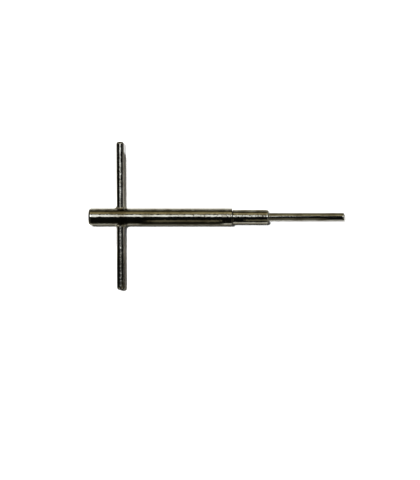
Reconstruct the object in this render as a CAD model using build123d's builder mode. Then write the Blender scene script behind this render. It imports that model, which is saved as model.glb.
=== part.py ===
"""Long-reach T-handle tap wrench, in millimetres.

The tool lies along X on the surface Z = 0, with its butt end at -X, its tap socket at +X and its cross
bar along Y. Stations are distances from the butt end, measured along the tool's axis.
"""

from build123d import *

import os
from math import cos, pi, radians, sin, sqrt, tan

# Barrel: turned bar stock, cross-bored for the bar and bored at the front for the chuck body
barrel_radius = 6.0
barrel_length = 100.0
butt_chamfer = 1.25
front_edge_break = 0.15
centre_radius = 1.6  # countersunk lathe centre in the butt face
centre_pilot_radius = 0.7
centre_pilot_depth = 3.4

# Cross bar, brazed through the barrel by hand, so a little off centre and out of square
bar_radius = 2.65
bar_length = 103.5
bar_station = 22.1
bar_offset = 0.75  # the left arm is longer by twice this
bar_lean = 0.3  # degrees, about the vertical
bar_end_rounding = 1.8
braze_radius = 2.1

# Chuck body: a tail pressed into the barrel, and a threaded and slotted spigot in front of it
chuck_tail_length = 20.0
chuck_tail_radius = 4.0
spigot_length = 15.5
spigot_radius = 3.95
slot_width = 4.7
slot_depth = 8.0
end_chamfer = 0.3

# Closing sleeve, screwed over the spigot
sleeve_radius = 5.0
sleeve_gap = 0.5  # left between the sleeve and the barrel's shoulder when the jaws are tight
sleeve_front = 125.5
sleeve_bore_radius = 4.0
nose_bore_radius = 2.9
nose_length = 4.0
nose_chamfer = 0.9
nose_lead = 0.2
thread_pitch = 0.75
sleeve_turns = 3.0  # from tight to fully slack

# Closing cone: a loose hardened ring in the sleeve's nose, which slides but doesn't turn
cone_outer_radius = 3.92
cone_length = 4.5
cone_half_angle = 12.0  # degrees
cone_front_radius = 2.5
cone_end_play = 0.1

# Jaws: a pair with facing V grooves, pushed apart by two springs behind the square
jaw_front = 121.0
jaw_body_radius = 3.3
jaw_half_gap = 0.25
jaw_end_play = 0.1
jaw_side_clearance = 0.05
jaw_cone_clearance = 0.03
spring_coil_radius = 0.56
spring_wire_radius = 0.16
spring_turns = 6
spring_spread = 1.2  # on each side of the tool's axis
spring_set_back = 1.5  # from the slot's floor
pocket_radius = 0.8
pocket_end = 1.9  # from the tool's axis

# Extension spindle: a squared shank in the jaws, a long round reach, and a socket for a tap's shank
spindle_end = 178.2
spindle_radius = 2.85
spindle_edge_rounding = 0.7
shoulder_station = 123.9
shank_radius = 1.75
square_width = 2.7
square_start = 110.6
square_end = 118.3
square_clearance = 0.02
shank_clearance = 0.15
socket_radius = 1.8
socket_depth = 8.0
socket_lead = 0.25
broach_width = 2.75
broach_depth = 4.0

# Places worked out from the sizes above
butt_x = -spindle_end / 2
axis_height = barrel_radius
sleeve_rear = barrel_length + sleeve_gap
sleeve_shoulder = sleeve_front - nose_length
spigot_end = barrel_length + spigot_length
slot_floor = spigot_end - slot_depth
cone_end = sleeve_shoulder - cone_end_play
cone_start = cone_end - cone_length
cone_slope = tan(radians(cone_half_angle))
cone_rear_radius = cone_front_radius + cone_length * cone_slope
jaw_start = slot_floor + jaw_end_play
jaw_taper_gap = jaw_cone_clearance / cos(radians(cone_half_angle))
jaw_front_radius = cone_front_radius + (cone_end - jaw_front) * cone_slope - jaw_taper_gap
jaw_taper_start = jaw_front - (jaw_body_radius - jaw_front_radius) / cone_slope
groove_end = square_end - jaw_end_play
spring_height = 2 * (pocket_end - spring_wire_radius - jaw_end_play)
far_out = 3 * barrel_radius  # clear of every part, for cutting tools

tool_axis = Axis((butt_x, 0, axis_height), (1, 0, 0))
# A turned part's half section: the sketch's x is the station and its y the radius
half_section = Plane(origin=(butt_x, 0, axis_height), x_dir=(1, 0, 0), z_dir=(0, -1, 0))
bar_direction = (-sin(radians(bar_lean)), cos(radians(bar_lean)), 0)
bar_plane = Plane(origin=(butt_x + bar_station, 0, axis_height), x_dir=(0, 0, 1), z_dir=bar_direction)


def across(station):
    """The plane square to the tool's axis at a station: its x is Y and its y is Z."""
    return Plane(origin=(butt_x + station, 0, axis_height), x_dir=(0, 1, 0), z_dir=(1, 0, 0))


# Barrel
with BuildPart() as barrel:
    with BuildSketch(half_section):
        with BuildLine():
            Polyline(
                (0, 0),
                (0, barrel_radius - butt_chamfer),
                (butt_chamfer, barrel_radius),
                (barrel_length - front_edge_break, barrel_radius),
                (barrel_length, barrel_radius - front_edge_break),
                (barrel_length, 0),
                close=True,
            )
        make_face()
    revolve(axis=tool_axis)
    with BuildSketch(half_section):
        with BuildLine():
            Polyline(
                (0, 0),
                (0, centre_radius),
                ((centre_radius - centre_pilot_radius) * sqrt(3), centre_pilot_radius),
                (centre_pilot_depth, centre_pilot_radius),
                (centre_pilot_depth, 0),
                close=True,
            )
        make_face()
    revolve(axis=tool_axis, mode=Mode.SUBTRACT)
    with BuildSketch(across(barrel_length)):
        Circle(chuck_tail_radius)
    extrude(amount=-chuck_tail_length, mode=Mode.SUBTRACT)
    with BuildSketch(bar_plane):
        Circle(bar_radius)
    extrude(amount=far_out, both=True, mode=Mode.SUBTRACT)

# Cross bar
with BuildPart() as cross_bar:
    with BuildSketch(bar_plane.offset(bar_offset - bar_length / 2)):
        Circle(bar_radius)
    extrude(amount=bar_length)
    fillet(cross_bar.edges().filter_by(GeomType.CIRCLE), radius=bar_end_rounding)

# Braze: a ring of filler metal round the bar on each side, which is what a rolling ball leaves
# between the bar and the barrel
with BuildPart() as plain_joint:
    with BuildSketch(across(bar_station)):
        Circle(barrel_radius)
    extrude(amount=far_out, both=True)
    with BuildSketch(bar_plane):
        Circle(bar_radius)
    extrude(amount=far_out, both=True)

with BuildPart() as braze:
    add(plain_joint.part)
    fillet(braze.edges().filter_by(GeomType.BSPLINE), radius=braze_radius)
    add(plain_joint.part, mode=Mode.SUBTRACT)

# Chuck body
with BuildPart() as chuck_body:
    with BuildSketch(half_section):
        with BuildLine():
            Polyline(
                (barrel_length - chuck_tail_length, 0),
                (barrel_length - chuck_tail_length, chuck_tail_radius - end_chamfer),
                (barrel_length - chuck_tail_length + end_chamfer, chuck_tail_radius),
                (barrel_length, chuck_tail_radius),
                (barrel_length, spigot_radius),
                (spigot_end - end_chamfer, spigot_radius),
                (spigot_end, spigot_radius - end_chamfer),
                (spigot_end, 0),
                close=True,
            )
        make_face()
    revolve(axis=tool_axis)
    with BuildSketch(across(slot_floor)):
        Rectangle(slot_width, far_out)
    extrude(amount=slot_depth, mode=Mode.SUBTRACT)

# Closing sleeve
with BuildPart() as closing_sleeve:
    with BuildSketch(half_section):
        with BuildLine():
            Polyline(
                (sleeve_rear, sleeve_bore_radius + end_chamfer),
                (sleeve_rear, sleeve_radius - front_edge_break),
                (sleeve_rear + front_edge_break, sleeve_radius),
                (sleeve_front - nose_chamfer, sleeve_radius),
                (sleeve_front, sleeve_radius - nose_chamfer),
                (sleeve_front, nose_bore_radius + nose_lead),
                (sleeve_front - nose_lead, nose_bore_radius),
                (sleeve_shoulder, nose_bore_radius),
                (sleeve_shoulder, sleeve_bore_radius),
                (sleeve_rear + end_chamfer, sleeve_bore_radius),
                close=True,
            )
        make_face()
    revolve(axis=tool_axis)

# Closing cone
with BuildPart() as closing_cone:
    with BuildSketch(half_section):
        with BuildLine():
            Polyline(
                (cone_start, cone_rear_radius),
                (cone_start, cone_outer_radius),
                (cone_end, cone_outer_radius),
                (cone_end, cone_front_radius),
                close=True,
            )
        make_face()
    revolve(axis=tool_axis)

# Jaws: turned and tapered together, then split, grooved and drilled for the springs
with BuildPart() as jaw_upper:
    with BuildSketch(half_section):
        with BuildLine():
            Polyline(
                (jaw_start, 0),
                (jaw_start, jaw_body_radius),
                (jaw_taper_start, jaw_body_radius),
                (jaw_front, jaw_front_radius),
                (jaw_front, 0),
                close=True,
            )
        make_face()
    revolve(axis=tool_axis)
    with BuildSketch(across(jaw_start)):
        with Locations((0, jaw_half_gap)):
            Rectangle(
                slot_width - 2 * jaw_side_clearance,
                jaw_body_radius,
                align=(Align.CENTER, Align.MIN),
            )
    extrude(amount=jaw_front - jaw_start, mode=Mode.INTERSECT)
    with BuildSketch(across(jaw_start)):
        groove_width = square_width + 2 * square_clearance
        Rectangle(groove_width, groove_width, rotation=45)
    extrude(amount=groove_end - jaw_start, mode=Mode.SUBTRACT)
    with BuildSketch(across(groove_end)):
        Circle(shank_radius + shank_clearance)
    extrude(amount=jaw_front - groove_end, mode=Mode.SUBTRACT)
    with BuildSketch(Plane.XY.offset(axis_height)):
        with Locations(
            (butt_x + slot_floor + spring_set_back, spring_spread),
            (butt_x + slot_floor + spring_set_back, -spring_spread),
        ):
            Circle(pocket_radius)
    extrude(amount=pocket_end, mode=Mode.SUBTRACT)

with BuildPart() as jaw_lower:
    mirror(jaw_upper.part, about=Plane.XY.offset(axis_height))

# Jaw springs, open coils of round wire standing in the pockets
for number, side in ((1, spring_spread), (2, -spring_spread)):
    spring_foot = Location((butt_x + slot_floor + spring_set_back, side, axis_height - spring_height / 2))
    with BuildPart() as jaw_spring:
        with BuildLine(Plane(spring_foot)) as coil:
            Helix(
                pitch=spring_height / spring_turns,
                height=spring_height,
                radius=spring_coil_radius,
            )
        with BuildSketch(Plane(origin=coil.line @ 0, z_dir=coil.line % 0)):
            Circle(spring_wire_radius)
        sweep(path=coil.line, is_frenet=True)
    jaw_spring.part.label = f"jaw_spring_{number}"
    export_step(jaw_spring.part, f"parts/jaw_spring_{number}.step")

# Extension spindle
with BuildPart() as extension_spindle:
    with BuildSketch(half_section):
        with BuildLine():
            Polyline(
                (spindle_end - spindle_edge_rounding, spindle_radius),
                (shoulder_station, spindle_radius),
                (shoulder_station, shank_radius),
                (square_start + end_chamfer, shank_radius),
                (square_start, shank_radius - end_chamfer),
                (square_start, 0),
                (spindle_end - socket_depth, 0),
                (spindle_end - socket_depth, socket_radius),
                (spindle_end - socket_lead, socket_radius),
                (spindle_end, socket_radius + socket_lead),
                (spindle_end, spindle_radius - spindle_edge_rounding),
            )
            RadiusArc(
                (spindle_end, spindle_radius - spindle_edge_rounding),
                (spindle_end - spindle_edge_rounding, spindle_radius),
                spindle_edge_rounding,
            )
        make_face()
    revolve(axis=tool_axis)
    with BuildSketch(across(square_start)):
        Circle(far_out)
        Rectangle(square_width, square_width, rotation=45, mode=Mode.SUBTRACT)
    extrude(amount=square_end - square_start, mode=Mode.SUBTRACT)
    with BuildSketch(across(spindle_end - socket_depth)):
        Rectangle(broach_width, broach_width, rotation=45)
    extrude(amount=-broach_depth, mode=Mode.SUBTRACT)

for name, piece in (
    ("barrel", barrel.part),
    ("cross_bar", cross_bar.part),
    ("braze_ring_right", braze.solids().sort_by(Axis.Y)[0]),
    ("braze_ring_left", braze.solids().sort_by(Axis.Y)[-1]),
    ("chuck_body", chuck_body.part),
    ("closing_sleeve", closing_sleeve.part),
    ("closing_cone", closing_cone.part),
    ("jaw_upper", jaw_upper.part),
    ("jaw_lower", jaw_lower.part),
    ("extension_spindle", extension_spindle.part),
):
    piece.label = name
    export_step(piece, f"parts/{name}.step")

sleeve_travel = thread_pitch * sleeve_turns
print("sleeve travel", sleeve_travel, "mm, radians per metre", 2000 * pi / thread_pitch)
print("jaw travel", sleeve_travel * cone_slope, "mm, per metre", cone_slope)
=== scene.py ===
from math import atan2, cos, exp, pi, radians, sin, sqrt

import bmesh
import bpy
from mathutils import Matrix, Vector, noise


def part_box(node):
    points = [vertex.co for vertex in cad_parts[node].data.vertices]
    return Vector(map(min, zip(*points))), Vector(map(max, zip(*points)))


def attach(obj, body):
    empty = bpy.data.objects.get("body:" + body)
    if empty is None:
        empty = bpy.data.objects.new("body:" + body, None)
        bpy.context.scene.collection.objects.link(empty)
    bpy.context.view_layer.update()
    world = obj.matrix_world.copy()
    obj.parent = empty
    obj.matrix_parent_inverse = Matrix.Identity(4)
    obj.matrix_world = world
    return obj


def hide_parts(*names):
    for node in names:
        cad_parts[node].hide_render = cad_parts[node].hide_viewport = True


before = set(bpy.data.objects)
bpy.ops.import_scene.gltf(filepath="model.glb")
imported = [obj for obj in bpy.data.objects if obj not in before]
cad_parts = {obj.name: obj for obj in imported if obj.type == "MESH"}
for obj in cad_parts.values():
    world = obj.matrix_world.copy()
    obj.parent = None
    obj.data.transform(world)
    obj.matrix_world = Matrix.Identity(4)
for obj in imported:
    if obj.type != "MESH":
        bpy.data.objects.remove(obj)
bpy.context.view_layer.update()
mm = 0.001

# ---------------------------------------------------------------------------------------------------
# Barrel
# A 12 mm bright-drawn steel bar, faced and chamfered in a lathe, with a lathe centre left in its butt
# and a bore in front for the chuck. Nickel plated all over, then buffed by hand, which dubs its ends.
# ---------------------------------------------------------------------------------------------------
barrel_low, barrel_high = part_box("barrel")
butt = barrel_low.x
barrel_front = barrel_high.x
axis_height = (barrel_low.z + barrel_high.z) / 2
barrel_radius = (barrel_high.z - barrel_low.z) / 2
butt_chamfer = 1.25 * mm
centre_radius = 1.6 * mm
centre_pilot_radius = 0.7 * mm
centre_pilot_depth = 3.4 * mm
chuck_bore_radius = 4 * mm
chuck_bore_depth = 20 * mm
broken_edge = 0.07 * mm  # what a file takes off each turned corner
buffing_drop = 0.012 * mm  # how far buffing has rounded the surface off at each end
buffing_reach = 1.5 * mm  # and how far in from the end it still shows
round_segments = 192


def new_object(name, bm, sharp_above=35):
    """Finishes a bmesh as a smooth-shaded object whose edges above an angle stay sharp."""
    for face in bm.faces:
        face.smooth = True
    for edge in bm.edges:
        edge.smooth = edge.calc_face_angle(0) < radians(sharp_above)
    mesh = bpy.data.meshes.new(name)
    bm.to_mesh(mesh)
    bm.free()
    piece = bpy.data.objects.new(name, mesh)
    bpy.context.scene.collection.objects.link(piece)
    return piece


def turned(outline, spacing=2 * mm, edge=broken_edge, segments=round_segments):
    """A bmesh turned about the X axis from an outline of (x, radius) points, with its corners broken.

    Long straight stretches get a ring every so often. The vertices of each broken corner carry 1 in the
    layer edge_wear, and the others 0.
    """
    bm = bmesh.new()
    line = [bm.verts.new((x, 0, radius)) for x, radius in outline]
    stretches = [bm.edges.new(pair) for pair in zip(line, line[1:])]
    for stretch in stretches:
        cuts = int(stretch.calc_length() / spacing)
        if cuts:
            bmesh.ops.subdivide_edges(bm, edges=[stretch], cuts=cuts)
    bmesh.ops.spin(bm, geom=bm.verts[:] + bm.edges[:], cent=(0, 0, 0), axis=(1, 0, 0), angle=2 * pi,
                   steps=segments, use_merge=True)
    bmesh.ops.remove_doubles(bm, verts=bm.verts[:], dist=0.0001 * mm)
    bmesh.ops.recalc_face_normals(bm, faces=bm.faces[:])
    wear = bm.verts.layers.float.new("edge_wear")
    least_corner = radians(20)
    corners = [e for e in bm.edges if e.calc_face_angle(0) > least_corner]
    broken = bmesh.ops.bevel(bm, geom=corners, offset=edge, segments=3, profile=0.5, affect="EDGES",
                             material=-1, clamp_overlap=True)
    for vert in broken["verts"]:
        vert[wear] = 1
    return bm


def painted_shade(bm, start, end, inner, amount):
    """Gives a turned bmesh's vertices an amount of painted shade, in a vertex layer that darkens their
    colour.

    They are those from start to end along X whose radius is over inner.
    """
    layer = bm.verts.layers.float.get("painted_shade") or bm.verts.layers.float.new("painted_shade")
    slack = 0.01 * mm
    for vert in bm.verts:
        out = sqrt(vert.co.y**2 + vert.co.z**2)
        if start - slack <= vert.co.x <= end + slack and out > inner:
            vert[layer] = amount


def buff_ends(bm, radius, rear, front, drop=buffing_drop, reach=buffing_reach):
    """Rounds the outside of a turned bmesh off towards both ends, as a buffing wheel does."""
    outside = 0.97 * radius
    for vert in bm.verts:
        out = sqrt(vert.co.y**2 + vert.co.z**2)
        if out > outside:
            away = min(abs(vert.co.x - rear), abs(vert.co.x - front))
            less = (out - drop * exp(-away / reach)) / out
            vert.co.y *= less
            vert.co.z *= less


def cut(piece, tool):
    """Cuts the bmesh tool's shape out of a piece and finishes the piece's mesh."""
    cutter = new_object("cutter", tool)
    boolean = piece.modifiers.new("cut", "BOOLEAN")
    boolean.object = cutter
    boolean.operation = "DIFFERENCE"
    boolean.solver = "EXACT"
    scene_state = bpy.context.evaluated_depsgraph_get()
    mesh = bpy.data.meshes.new_from_object(piece.evaluated_get(scene_state))
    piece.modifiers.remove(boolean)
    piece.data = mesh
    bpy.data.objects.remove(cutter)


def weigh_normals(piece):
    """Keeps the shading of flat faces flat beside their broken corners."""
    weighted = piece.modifiers.new("weighted normals", "WEIGHTED_NORMAL")
    weighted.keep_sharp = True


def linear(code):
    """An sRGB hex colour as linear red, green, blue and alpha."""
    channels = [int(code[i:i + 2], 16) / 255 for i in (1, 3, 5)]
    return [c / 12.92 if c <= 0.04045 else ((c + 0.055) / 1.055) ** 2.4 for c in channels] + [1]


def node(tree, kind, settings=None, inputs=None, links=None):
    """Adds one node: its own settings, its sockets' values, and what its sockets are linked to."""
    made = tree.nodes.new(kind)
    for name, value in (settings or {}).items():
        setattr(made, name, value)
    for socket, value in (inputs or {}).items():
        made.inputs[socket].default_value = value
    for socket, source in (links or {}).items():
        tree.links.new(source, made.inputs[socket])
    return made


def new_material(name):
    """An empty node material, with its tree."""
    material = bpy.data.materials.new(name)
    material.use_nodes = True
    material.node_tree.nodes.clear()
    return material, material.node_tree


def grain(tree, place, size, detail=2, roughness=0.5, kind="ShaderNodeTexNoise"):
    """A noise whose features are about size across, centred on 0.5."""
    return node(tree, kind, {}, {"Scale": 1 / size, "Detail": detail, "Roughness": roughness},
                {"Vector": place}).outputs[0]


def stretched(tree, place, factors):
    """Coordinates multiplied along X, Y and Z: a factor below 1 draws a pattern out that way."""
    return node(tree, "ShaderNodeMapping", {"vector_type": "POINT"}, {"Scale": factors},
                {"Vector": place}).outputs[0]


def ramp(tree, value, low, high, to_low=0.0, to_high=1.0):
    """Maps a value from one range to another, smoothly and clamped."""
    return node(tree, "ShaderNodeMapRange", {"interpolation_type": "SMOOTHSTEP"},
                {"From Min": low, "From Max": high, "To Min": to_low, "To Max": to_high},
                {"Value": value}).outputs[0]


def arithmetic(tree, operation, a, b):
    """a and b, each a socket or a number, through one Math node."""
    made = tree.nodes.new("ShaderNodeMath")
    made.operation = operation
    for socket, value in zip(made.inputs, (a, b)):
        if isinstance(value, (int, float)):
            socket.default_value = value
        else:
            tree.links.new(value, socket)
    return made.outputs[0]


def mixed(tree, share, a, b):
    """Colour a where share is 0 and b where it is 1."""
    made = tree.nodes.new("ShaderNodeMix")
    made.data_type = "RGBA"
    for socket, value in zip((made.inputs[0], made.inputs[6], made.inputs[7]), (share, a, b)):
        if isinstance(value, (int, float, list)):
            socket.default_value = value
        else:
            tree.links.new(value, socket)
    return made.outputs[2]


def bumped(tree, height, depth, before=None):
    """The surface normal over a height pattern that is depth from its lowest to its highest."""
    links = {"Height": height}
    if before:
        links["Normal"] = before
    return node(tree, "ShaderNodeBump", {}, {"Strength": 1, "Distance": depth}, links).outputs[0]


def nickel_plate(name, draw, wave_draw, wave_size, wave_depth, peel_size, peel_depth, line_depth, satin,
                 clean="#8F8D83", stained="#6F6B5E"):
    """Buffed nickel plate over steel: a dark warm mirror that shows how the steel under it was worked.

    draw holds the factors that draw out the fine lines of the steel, along the bar for drawn bar and
    round it for turned work. wave_draw holds those of the soft ripple, which breaks up what the plate
    mirrors, and peel is its finer, shallower one. Hands have stained it in patches, and it is worn
    brighter at its edges. Where a vertex layer says, it is painted near black: painted shade for the dark
    that chamfers and seam edges mirror.
    """
    line_spacing = 0.35 * mm  # really about 0.05 mm, drawn coarser so that the lines show
    stain_size = 9 * mm
    worn = "#A3A196"
    # Painted shade: a near black for the chamfers and the edges at the seams
    painted_shade_colour = "#2E2B24"
    warm_glint = "#B9B5A8"
    material, tree = new_material(name)
    place = node(tree, "ShaderNodeTexCoord").outputs["Object"]
    wave = grain(tree, stretched(tree, place, wave_draw), wave_size, 1)
    peel = grain(tree, place, peel_size, 2)
    lines = grain(tree, stretched(tree, place, draw), line_spacing, 3, 0.6)
    smear = grain(tree, place, stain_size, 3, 0.6)
    normal = bumped(tree, wave, wave_depth)
    normal = bumped(tree, peel, peel_depth, normal)
    normal = bumped(tree, lines, line_depth, normal)
    colour = mixed(tree, ramp(tree, smear, 0.42, 0.68), linear(clean), linear(stained))
    # edge_wear mixes in the lighter worn colour; the other layer mixes in painted shade on chamfers and seam
    # edges
    for layer, shade in (("edge_wear", worn), ("painted_shade", painted_shade_colour)):
        amount = node(tree, "ShaderNodeAttribute", {"attribute_name": layer}).outputs["Fac"]
        colour = mixed(tree, amount, colour, linear(shade))
    # Stained patches are duller, and so are the crests of the fine lines
    rough = ramp(tree, smear, 0.35, 0.7, satin * 0.75, satin * 1.5)
    rough = arithmetic(tree, "ADD", rough, ramp(tree, lines, 0.5, 0.75, 0, 0.05))
    shader = node(tree, "ShaderNodeBsdfPrincipled", {}, {"Metallic": 1, "Specular Tint": linear(warm_glint)},
                  {"Base Color": colour, "Roughness": rough, "Normal": normal})
    node(tree, "ShaderNodeOutputMaterial", {}, {}, {"Surface": shader.outputs[0]})
    return material


def finish_piece(piece, node_name, body, material):
    """Gives a piece its material and the body it moves with, and hides the CAD node it stands in for."""
    piece.data.materials.append(material)
    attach(piece, body)
    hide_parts(node_name)


barrel_outline = [
    (butt + centre_pilot_depth, 0),
    (butt + centre_pilot_depth, centre_pilot_radius),
    (butt + (centre_radius - centre_pilot_radius) * sqrt(3), centre_pilot_radius),
    (butt, centre_radius),
    (butt, barrel_radius - butt_chamfer),
    (butt + butt_chamfer, barrel_radius),
    (barrel_front, barrel_radius),
    (barrel_front, chuck_bore_radius),
    (barrel_front - chuck_bore_depth, chuck_bore_radius),
    (barrel_front - chuck_bore_depth, 0),
]
barrel_mesh = turned(barrel_outline, spacing=1.2 * mm)
buff_ends(barrel_mesh, barrel_radius, butt, barrel_front)
# Painted shade: the butt's chamfer and the barrel's front edge at the seam are coloured near black, standing
# in for the dark they mirror
painted_shade(barrel_mesh, butt + 2 * broken_edge, butt + butt_chamfer, chuck_bore_radius, 0.9)
painted_shade(barrel_mesh, barrel_front - broken_edge, barrel_front, barrel_radius - 2 * broken_edge, 0.7)
bmesh.ops.translate(barrel_mesh, vec=(0, 0, axis_height), verts=barrel_mesh.verts[:])
barrel = new_object("barrel_shell", barrel_mesh)

# The hole for the bar, which leans with it a little out of square
bar_low, bar_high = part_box("cross_bar")
bar_radius = (bar_high.z - bar_low.z) / 2
bar_lean = radians(0.3)
bar_centre = (bar_low + bar_high) / 2
bar_turn = Matrix.Translation(bar_centre) @ Matrix.Rotation(bar_lean, 4, "Z")

hole = bmesh.new()
bmesh.ops.create_cone(hole, cap_ends=True, segments=96, radius1=bar_radius, radius2=bar_radius,
                      depth=4 * barrel_radius)
bmesh.ops.rotate(hole, verts=hole.verts[:], matrix=Matrix.Rotation(pi / 2, 3, "X"))
bmesh.ops.transform(hole, matrix=bar_turn, verts=hole.verts[:])
cut(barrel, hole)
weigh_normals(barrel)
# Over drawn bar the plate mirrors in long clear bands, with fine lines along them and a soft ripple
plate_on_drawn_bar = nickel_plate(
    "nickel_plate_on_drawn_bar", draw=(0.02, 1, 1), wave_draw=(0.8, 1, 1), wave_size=1.9 * mm,
    wave_depth=0.1 * mm, peel_size=0.9 * mm, peel_depth=0.025 * mm, line_depth=0.0012 * mm, satin=0.07)
finish_piece(barrel, "barrel", "handle", plate_on_drawn_bar)

# ---------------------------------------------------------------------------------------------------
# Cross bar
# A 5.3 mm drawn rod with domed ends, left as drawn before plating, so the plate over it is grainy and
# breaks a reflection into beads.
# ---------------------------------------------------------------------------------------------------
bar_half_length = (bar_high.y - bar_low.y) / 2
bar_dome = 1.8 * mm
dome_steps = 10

bar_outline = [(-bar_half_length, 0)]
bar_outline += [(-bar_half_length + bar_dome * (1 - cos(pi / 2 * i / dome_steps)),
                 bar_radius - bar_dome * (1 - sin(pi / 2 * i / dome_steps))) for i in range(dome_steps + 1)]
bar_outline += [(-x, radius) for x, radius in reversed(bar_outline)]
bar_mesh = turned(bar_outline, spacing=1.2 * mm, segments=128)
bmesh.ops.rotate(bar_mesh, verts=bar_mesh.verts[:], matrix=Matrix.Rotation(pi / 2, 3, "Z"))
bmesh.ops.transform(bar_mesh, matrix=bar_turn, verts=bar_mesh.verts[:])
bar = new_object("cross_bar_shell", bar_mesh)
# Over the rough rod it breaks every reflection into fine beads, and looks greyer
plate_on_rough_rod = nickel_plate(
    "nickel_plate_on_rough_rod", draw=(1, 0.05, 1), wave_draw=(1, 0.65, 1), wave_size=1 * mm,
    wave_depth=0.085 * mm, peel_size=0.6 * mm, peel_depth=0.025 * mm, line_depth=0.002 * mm, satin=0.07,
    clean="#83817A", stained="#625F54")
finish_piece(bar, "cross_bar", "handle", plate_on_rough_rod)

# ---------------------------------------------------------------------------------------------------
# Braze rings
# Filler metal run in round the bar by hand on each side of the barrel, filed hollow and plated with
# the rest. Its fillet is the path of a ball rolled round the corner, a little uneven.
# ---------------------------------------------------------------------------------------------------
braze_radius = 2.1 * mm
braze_steps = 12
braze_segments = 144
braze_unevenness = 0.12 * mm
braze_lumpiness = 1.7  # how quickly the fillet's size changes round the bar


def braze_ring(name, side, seed):
    """The fillet on one side of the barrel, +1 left and -1 right, as a closed ring round the bar.

    The ring is spun first with X as its share of the way over the fillet, from 0 on the bar to 1 on the
    barrel, and the rest of its section follows the barrel back to the bar.
    """
    bm = bmesh.new()
    section = [bm.verts.new((step / braze_steps, 0, 1)) for step in range(braze_steps + 3)]
    for pair in zip(section, section[1:] + section[:1]):
        bm.edges.new(pair)
    bmesh.ops.spin(bm, geom=bm.verts[:] + bm.edges[:], cent=(0, 0, 0), axis=(1, 0, 0), angle=2 * pi,
                   steps=braze_segments, use_merge=True)
    for vert in bm.verts:
        turn = atan2(vert.co.y, vert.co.z)
        share = vert.co.x
        way = Vector((sin(turn), 0, cos(turn)))
        size = braze_radius + braze_unevenness * noise.noise(way * braze_lumpiness + Vector((0, 0, seed)))
        reach = bar_radius + size
        rise = sqrt((barrel_radius + size) ** 2 - (reach * way.z) ** 2)
        ball = way * reach + Vector((0, rise, 0))
        on_bar = way * bar_radius + Vector((0, rise, 0))
        on_barrel = ball.copy()
        on_barrel.yz *= barrel_radius / (barrel_radius + size)
        corner = way * bar_radius
        corner.y = sqrt(barrel_radius**2 - corner.z**2)
        if share <= 1:
            vert.co = ball + (on_bar - ball).slerp(on_barrel - ball, share).normalized() * size
        elif share < 1 + 1.5 / braze_steps:
            vert.co = (on_barrel + corner) / 2
            vert.co.y = sqrt(barrel_radius**2 - vert.co.z**2)
        else:
            vert.co = corner
        vert.co.y *= side
    bmesh.ops.recalc_face_normals(bm, faces=bm.faces[:])
    bmesh.ops.rotate(bm, verts=bm.verts[:], matrix=Matrix.Rotation(bar_lean, 3, "Z"))
    at_axis = bar_centre.x + bar_centre.y * sin(bar_lean)
    bmesh.ops.translate(bm, vec=(at_axis, 0, axis_height), verts=bm.verts[:])
    return new_object(name, bm, sharp_above=40)


# Over filed braze it is satin, so it only glows where the bar and barrel mirror
braze_plate = nickel_plate(
    "nickel_plate_on_braze", draw=(1, 1, 1), wave_draw=(1, 1, 1), wave_size=3 * mm, wave_depth=0.05 * mm,
    peel_size=1 * mm, peel_depth=0.01 * mm, line_depth=0.001 * mm, satin=0.16, clean="#8A877A",
    stained="#5F594B")
for node_name, side, seed in (("braze_ring_left", 1, 3.1), ("braze_ring_right", -1, 8.4)):
    ring = braze_ring(node_name.replace("ring", "fillet"), side, seed)
    finish_piece(ring, node_name, "handle", braze_plate)

# ---------------------------------------------------------------------------------------------------
# Closing sleeve
# Turned from 10 mm bar, bored and threaded inside, its nose chamfered. Plated and buffed on the lathe,
# so its fine lines run round it.
# ---------------------------------------------------------------------------------------------------
sleeve_low, sleeve_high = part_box("closing_sleeve")
sleeve_rear = sleeve_low.x
sleeve_front = sleeve_high.x
sleeve_radius = (sleeve_high.z - sleeve_low.z) / 2
sleeve_bore_radius = 4 * mm
nose_bore_radius = 2.9 * mm
nose_length = 4 * mm
nose_chamfer = 0.9 * mm

sleeve_outline = [
    (sleeve_rear, sleeve_bore_radius),
    (sleeve_rear, sleeve_radius),
    (sleeve_front - nose_chamfer, sleeve_radius),
    (sleeve_front, sleeve_radius - nose_chamfer),
    (sleeve_front, nose_bore_radius),
    (sleeve_front - nose_length, nose_bore_radius),
    (sleeve_front - nose_length, sleeve_bore_radius),
    (sleeve_rear, sleeve_bore_radius),
]
sleeve_mesh = turned(sleeve_outline, spacing=1 * mm)
buff_ends(sleeve_mesh, sleeve_radius, sleeve_rear, sleeve_front)
# Painted shade: the nose chamfer and the rear edge at the seam are coloured dark, standing in for the dark
# they mirror
painted_shade(sleeve_mesh, sleeve_front - nose_chamfer, sleeve_front - broken_edge / 2, sleeve_bore_radius,
        0.7)
painted_shade(sleeve_mesh, sleeve_rear, sleeve_rear + broken_edge, sleeve_radius - 2 * broken_edge, 0.7)
bmesh.ops.translate(sleeve_mesh, vec=(0, 0, axis_height), verts=sleeve_mesh.verts[:])
sleeve = new_object("closing_sleeve_shell", sleeve_mesh)
weigh_normals(sleeve)
# Over turned work its fine lines run round, so a highlight spreads a little along the sleeve
plate_on_turned_sleeve = nickel_plate(
    "nickel_plate_on_turned_sleeve", draw=(1, 0.03, 0.03), wave_draw=(0.8, 1, 1), wave_size=1.9 * mm,
    wave_depth=0.09 * mm, peel_size=0.8 * mm, peel_depth=0.02 * mm, line_depth=0.002 * mm, satin=0.08)
finish_piece(sleeve, "closing_sleeve", "closing_sleeve", plate_on_turned_sleeve)

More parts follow.
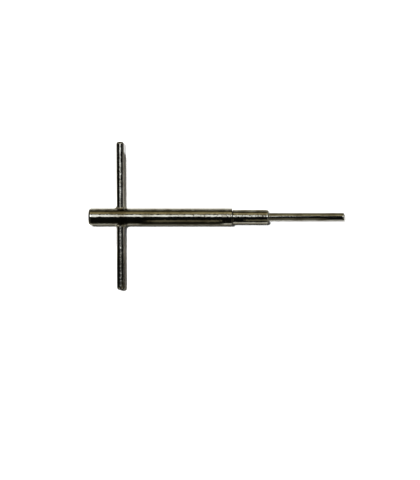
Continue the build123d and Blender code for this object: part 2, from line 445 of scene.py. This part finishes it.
# ---------------------------------------------------------------------------------------------------
# Extension spindle
# A turned 5.7 mm rod with a squared shank, which the jaws hold, and a rounded far end with a tap socket
# bored and broached in it. Plated and buffed like the sleeve.
# ---------------------------------------------------------------------------------------------------
spindle_low, spindle_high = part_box("extension_spindle")
spindle_rear = spindle_low.x
spindle_front = spindle_high.x
spindle_radius = (spindle_high.z - spindle_low.z) / 2
shoulder_depth = 1.6 * mm
shoulder = sleeve_front - shoulder_depth
shank_radius = 1.75 * mm
square_length = 7.7 * mm
square_width = 2.7 * mm
socket_radius = 1.8 * mm
socket_depth = 8 * mm
broach_width = 2.75 * mm
broach_depth = 4 * mm
tip_rounding = 0.7 * mm
tip_steps = 6

spindle_outline = [
    (spindle_rear, 0),
    (spindle_rear, shank_radius),
    (shoulder, shank_radius),
    (shoulder, spindle_radius),
]
spindle_outline += [(spindle_front - tip_rounding * (1 - sin(pi / 2 * i / tip_steps)),
                     spindle_radius - tip_rounding * (1 - cos(pi / 2 * i / tip_steps)))
                    for i in range(tip_steps + 1)]
spindle_outline += [
    (spindle_front, socket_radius),
    (spindle_front - socket_depth, socket_radius),
    (spindle_front - socket_depth, 0),
]
spindle_mesh = turned(spindle_outline, spacing=1 * mm, segments=128)
# Painted shade: the rounded tip is coloured darker, standing in for the dark it mirrors
painted_shade(spindle_mesh, spindle_front - 0.6 * tip_rounding, spindle_front, socket_radius + broken_edge, 0.6)
bmesh.ops.translate(spindle_mesh, vec=(0, 0, axis_height), verts=spindle_mesh.verts[:])
spindle = new_object("extension_spindle_shell", spindle_mesh)


def square_bar(start, end, width):
    """A square bar from start to end along the tool's axis, standing on an edge."""
    bm = bmesh.new()
    bmesh.ops.create_cube(bm, size=1)
    bmesh.ops.scale(bm, vec=(end - start, width, width), verts=bm.verts[:])
    bmesh.ops.rotate(bm, verts=bm.verts[:], matrix=Matrix.Rotation(pi / 4, 3, "X"))
    bmesh.ops.translate(bm, vec=((start + end) / 2, 0, axis_height), verts=bm.verts[:])
    return bm


broach = square_bar(spindle_front - socket_depth - broach_depth, spindle_front - socket_depth + mm,
                    broach_width)
cut(spindle, broach)
# Milling the four flats of the square
for turn in range(4):
    flat = bmesh.new()
    bmesh.ops.create_cube(flat, size=1)
    bmesh.ops.scale(flat, vec=(square_length + mm, 4 * square_width, square_width), verts=flat.verts[:])
    bmesh.ops.translate(flat, vec=(spindle_rear + (square_length - mm) / 2, 0, square_width),
                        verts=flat.verts[:])
    bmesh.ops.rotate(flat, verts=flat.verts[:], cent=(0, 0, 0),
                     matrix=Matrix.Rotation(pi / 4 + turn * pi / 2, 3, "X"))
    bmesh.ops.translate(flat, vec=(0, 0, axis_height), verts=flat.verts[:])
    cut(spindle, flat)
weigh_normals(spindle)
# On the thin rod the ripple runs lengthwise, so the reflections stay in unbroken lines
plate_on_turned_rod = nickel_plate(
    "nickel_plate_on_turned_rod", draw=(1, 0.05, 0.05), wave_draw=(0.2, 1, 1), wave_size=2 * mm,
    wave_depth=0.05 * mm, peel_size=0.7 * mm, peel_depth=0.01 * mm, line_depth=0.0015 * mm, satin=0.08)
finish_piece(spindle, "extension_spindle", "extension_spindle", plate_on_turned_rod)

# ---------------------------------------------------------------------------------------------------
# Chuck inside the sleeve
# A machined steel body with a threaded spigot, pressed into the barrel, a blacked hardened cone and a
# pair of jaws, and the two small springs of music wire that part them.
# ---------------------------------------------------------------------------------------------------
thread_pitch = 0.75 * mm


def bare_steel(name, base, dark, roughness, threaded=False):
    """Unplated steel under an oil film: a satin grey with tool lines round it, and smears of oil."""
    line_spacing = 0.3 * mm  # really about 0.1 mm, drawn coarser so that the lines show
    line_depth = 0.004 * mm
    smear_size = 4 * mm
    material, tree = new_material(name)
    place = node(tree, "ShaderNodeTexCoord").outputs["Object"]
    lines = grain(tree, stretched(tree, place, (1, 0.04, 0.04)), line_spacing, 3, 0.6)
    smear = grain(tree, place, smear_size, 3, 0.6)
    colour = mixed(tree, ramp(tree, smear, 0.4, 0.65), linear(base), linear(dark))
    rough = ramp(tree, smear, 0.3, 0.7, roughness * 0.8, roughness * 1.3)
    normal = bumped(tree, lines, line_depth)
    if threaded:
        # A right-hand thread: its groove comes round once for each pitch along X
        along = node(tree, "ShaderNodeSeparateXYZ", {}, {}, {"Vector": place}).outputs
        height = arithmetic(tree, "SUBTRACT", along["Z"], axis_height)
        turn = arithmetic(tree, "DIVIDE", arithmetic(tree, "ARCTAN2", along["Y"], height), 2 * pi)
        turns = arithmetic(tree, "ADD", arithmetic(tree, "DIVIDE", along["X"], thread_pitch), turn)
        groove = arithmetic(tree, "PINGPONG", turns, 0.5)
        normal = bumped(tree, groove, 0.8 * thread_pitch, normal)
    shader = node(tree, "ShaderNodeBsdfPrincipled", {}, {"Metallic": 1},
                  {"Base Color": colour, "Roughness": rough, "Normal": normal})
    node(tree, "ShaderNodeOutputMaterial", {}, {}, {"Surface": shader.outputs[0]})
    return material


# The body is light grey, with its thread showing in the slit behind the slackened sleeve
machined = bare_steel("machined_steel", "#8E8E8B", "#77756F", 0.32, threaded=True)
# Hardened in oil, the cone and jaws have come out nearly black
blacked = bare_steel("blacked_tool_steel", "#3B3938", "#2C2A29", 0.36)
# Drawn wire is the smoothest of the three
music_wire = bare_steel("music_wire", "#8F9092", "#737272", 0.28)
for node_name, material in (
    ("chuck_body", machined),
    ("closing_cone", blacked),
    ("jaw_upper", blacked),
    ("jaw_lower", blacked),
    ("jaw_spring_1", music_wire),
    ("jaw_spring_2", music_wire),
):
    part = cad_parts[node_name]
    part.data.materials.clear()
    part.data.materials.append(material)

# ---------------------------------------------------------------------------------------------------
# Studio
# White paper on a table, bright under two lamps. The high lamp stands a little behind the tool and to
# its left, and the low one far behind, where it shines in under the spindle but not under the barrel.
# ---------------------------------------------------------------------------------------------------
paper_reach = 20  # metres from its middle to its edges
bm = bmesh.new()
bmesh.ops.create_grid(bm, x_segments=1, y_segments=1, size=paper_reach)
floor = new_object("floor", bm)
# Matt paper, which shows nothing but the light on it
paper, tree = new_material("white_paper")
shader = node(tree, "ShaderNodeBsdfDiffuse", {}, {"Color": linear("#F2F2F2")})
node(tree, "ShaderNodeOutputMaterial", {}, {}, {"Surface": shader.outputs[0]})
floor.data.materials.append(paper)

lamp_spread = radians(5)  # how wide each lamp looks from the paper, which softens its shadows
for name, way, energy in (("high_lamp", (-1.4, 0.8, 6), 3.9), ("low_lamp", (-0.17, 0.985, 0.6), 3.8)):
    lamp = bpy.data.objects.new(name, bpy.data.lights.new(name, "SUN"))
    lamp.data.energy = energy
    lamp.data.angle = lamp_spread
    lamp.rotation_euler = Vector(way).to_track_quat("Z", "Y").to_euler()
    lamp.visible_glossy = False
    bpy.context.scene.collection.objects.link(lamp)

# ---------------------------------------------------------------------------------------------------
# What the metal mirrors
# A dark sheet just over the paper and two olive cards in front of the tool, all glowing, and a dark room
# with a warm wall behind and soft boxes overhead. The sheet and the cards are seen by the metal only, and
# shade nothing: they are painted reflections. The sheet dims the paper's reflection, and near the barrel and
# in front of the handle it partly stands in for the shade the tool casts on the paper.
# ---------------------------------------------------------------------------------------------------


def product(tree, *factors):
    """Multiplies sockets together."""
    total = factors[0]
    for factor in factors[1:]:
        total = arithmetic(tree, "MULTIPLY", total, factor)
    return total


def mirrored_only(piece):
    """Keeps a stage piece out of the picture and its shadows, so that it is only seen in the metal."""
    piece.visible_camera = False
    piece.visible_diffuse = False
    piece.visible_shadow = False
    piece.visible_transmission = False


table_above_paper = 0.3 * mm
bm = bmesh.new()
bmesh.ops.create_grid(bm, x_segments=1, y_segments=1, size=paper_reach)
bmesh.ops.translate(bm, vec=(0, 0, table_above_paper), verts=bm.verts[:])
surround = new_object("surround", bm)
painted_dark_reflection, tree = new_material("painted_dark_reflection")
place = node(tree, "ShaderNodeTexCoord").outputs["Object"]
spot = node(tree, "ShaderNodeSeparateXYZ", {}, {}, {"Vector": place}).outputs


def fade(axis, start, end, at_start=0.0, at_end=1.0):
    """How much of the table shows, from at_start to at_end between two places in mm along X or Y."""
    return ramp(tree, spot[axis], start * mm, end * mm, at_start, at_end)


# Where the sheet covers the paper the metal mirrors a glowing dark colour instead of white: painted
# reflection, partly painted shade near the barrel and handle
covers = [
    fade("Y", 10, 80, 0.25, 1),  # behind the tool, thin near it
    fade("Y", -100, -6, 1, 0),  # in front of it
    product(tree, fade("X", -58, -52), fade("X", 2, 8, 1, 0), fade("Y", -19, -7, 1, 0)),  # by the barrel
    product(tree, fade("X", 2, 8, 1, 0), fade("Y", -36, -20, 1, 0)),  # in front of the handle
    fade("X", -112, -100, 1, 0),  # past the butt
    product(tree, fade("X", 90, 95), fade("X", 150, 210, 1, 0)),  # past the tip
]
cover = covers[0]
for part in covers[1:]:
    cover = arithmetic(tree, "MAXIMUM", cover, part)
clear = node(tree, "ShaderNodeBsdfTransparent").outputs[0]
dark = node(tree, "ShaderNodeEmission", {}, {"Color": linear("#423F35"), "Strength": 1}).outputs[0]
both = node(tree, "ShaderNodeMixShader", {}, {}, {0: cover, 1: clear, 2: dark})
node(tree, "ShaderNodeOutputMaterial", {}, {}, {"Surface": both.outputs[0]})
surround.data.materials.append(painted_dark_reflection)
mirrored_only(surround)

card_away = 70 * mm
card_lean = radians(58)  # from overhead towards the front
card_height = 34 * mm
# Painted reflection: the cards glow olive and are seen only in the metal
olive, tree = new_material("olive_card")
shader = node(tree, "ShaderNodeEmission", {}, {"Color": linear("#8E8770"), "Strength": 1})
node(tree, "ShaderNodeOutputMaterial", {}, {}, {"Surface": shader.outputs[0]})
for name, start, end in (("olive_card_left", -51 * mm, 3 * mm), ("olive_card_right", 22 * mm, 82 * mm)):
    bm = bmesh.new()
    bmesh.ops.create_grid(bm, x_segments=1, y_segments=1, size=0.5)
    bmesh.ops.scale(bm, vec=(end - start, card_height, 1), verts=bm.verts[:])
    bmesh.ops.rotate(bm, verts=bm.verts[:], matrix=Matrix.Rotation(card_lean, 3, "X"))
    bmesh.ops.translate(bm, vec=((start + end) / 2, -card_away * sin(card_lean),
                                 axis_height + card_away * cos(card_lean)), verts=bm.verts[:])
    card = new_object(name, bm)
    card.data.materials.append(olive)
    mirrored_only(card)

world = bpy.data.worlds.new("room")
bpy.context.scene.world = world
world.use_nodes = True
tree = world.node_tree
tree.nodes.clear()
way = node(tree, "ShaderNodeTexCoord").outputs["Generated"]
parts = node(tree, "ShaderNodeSeparateXYZ", {}, {}, {"Vector": way}).outputs
rays = node(tree, "ShaderNodeLightPath").outputs
# The angle from overhead towards +Y, and how far the direction leans to +X
lean_y = arithmetic(tree, "ARCTAN2", parts["Y"], parts["Z"])
lean_x = parts["X"]


def band(value, low, high, soft):
    """1 where value is between low and high, falling to 0 over soft outside them."""
    rise = ramp(tree, value, low - soft, low)
    fall = ramp(tree, value, high, high + soft, 1, 0)
    return product(tree, rise, fall)


def tilt(low, high, soft):
    """A band between two angles from overhead towards +Y, in degrees."""
    return band(lean_y, radians(low), radians(high), radians(soft))


# Soft light from the room's four corners, clear of the dark slots over the barrel and along the bar
corner = product(tree, ramp(tree, arithmetic(tree, "ABSOLUTE", lean_x, 0), 0.26, 0.5),
                 ramp(tree, arithmetic(tree, "ABSOLUTE", parts["Y"], 0), 0.2, 0.42),
                 ramp(tree, parts["Z"], 0.02, 0.5, 0.25, 1), rays["Is Glossy Ray"])
# A warm wall behind, brighter to the right, with a dark gap between it and the soft box
wall = product(tree, ramp(tree, lean_y, radians(28), radians(42)),
               ramp(tree, lean_y, radians(48), radians(84), 1, 0))
wall = product(tree, wall, band(lean_x, -0.3, 0.3, 0.3))
bright_wall = product(tree, tilt(38, 50, 8), band(lean_x, 0.02, 0.3, 0.006))
gap = product(tree, tilt(26, 35, 4), ramp(tree, lean_x, -0.085, -0.055, 0.85, 0))
# The soft box over the barrel, and a stronger one at each side, which both die away over the bar's
# front arm. The paper gets only part of their light, so its shadows stay deep.
on_paper = 0.3
reaching = ramp(tree, rays["Is Glossy Ray"], 0, 1, on_paper, 1)
strip = product(tree, tilt(2, 25, 2), band(lean_x, -0.27, 0.038, 0.01), reaching)
over_bar = arithmetic(tree, "ADD", band(lean_x, -0.27, -0.16, 0.02), band(lean_x, 0.16, 0.36, 0.02))
dying_away = product(tree, ramp(tree, lean_y, radians(-2), radians(5)),
                     ramp(tree, lean_y, radians(25), radians(27), 1, 0))
over_bar = product(tree, over_bar, dying_away, reaching)
glow = [0.012, 0.012, 0.011, 1]
for share, light in (
    (corner, [1.5, 1.46, 1.3, 1]),
    (wall, [0.78, 0.66, 0.36, 1]),
    (bright_wall, [1.1, 0.95, 0.6, 1]),
    (gap, [0.03, 0.03, 0.025, 1]),
    (strip, [2.75, 2.85, 3.0, 1]),
    (over_bar, [5, 5.2, 5.5, 1]),
    (rays["Is Camera Ray"], [0.9, 0.9, 0.89, 1]),
):
    glow = mixed(tree, share, glow, light)
background = node(tree, "ShaderNodeBackground", {}, {"Strength": 1}, {"Color": glow})
node(tree, "ShaderNodeOutputWorld", {}, {}, {"Surface": background.outputs[0]})

# ---------------------------------------------------------------------------------------------------
# Camera
# It looks straight down from a metre above the tool's axis, a little in front of that axis and a
# little to the left of the tool's middle.
# ---------------------------------------------------------------------------------------------------
camera_height = 1.0
view_height = 0.335  # what the frame's long side covers at the tool's axis
view_centre = (-4.47 * mm, -16.15 * mm)
camera = bpy.data.objects.new("camera", bpy.data.cameras.new("camera"))
camera.location = (*view_centre, axis_height + camera_height)
camera.data.sensor_width = 36
camera.data.lens = camera.data.sensor_width * camera_height / view_height
camera.data.clip_start = 0.05
camera.data.clip_end = 50
bpy.context.scene.collection.objects.link(camera)
bpy.context.scene.camera = camera
bpy.context.scene.view_settings.view_transform = "Standard"
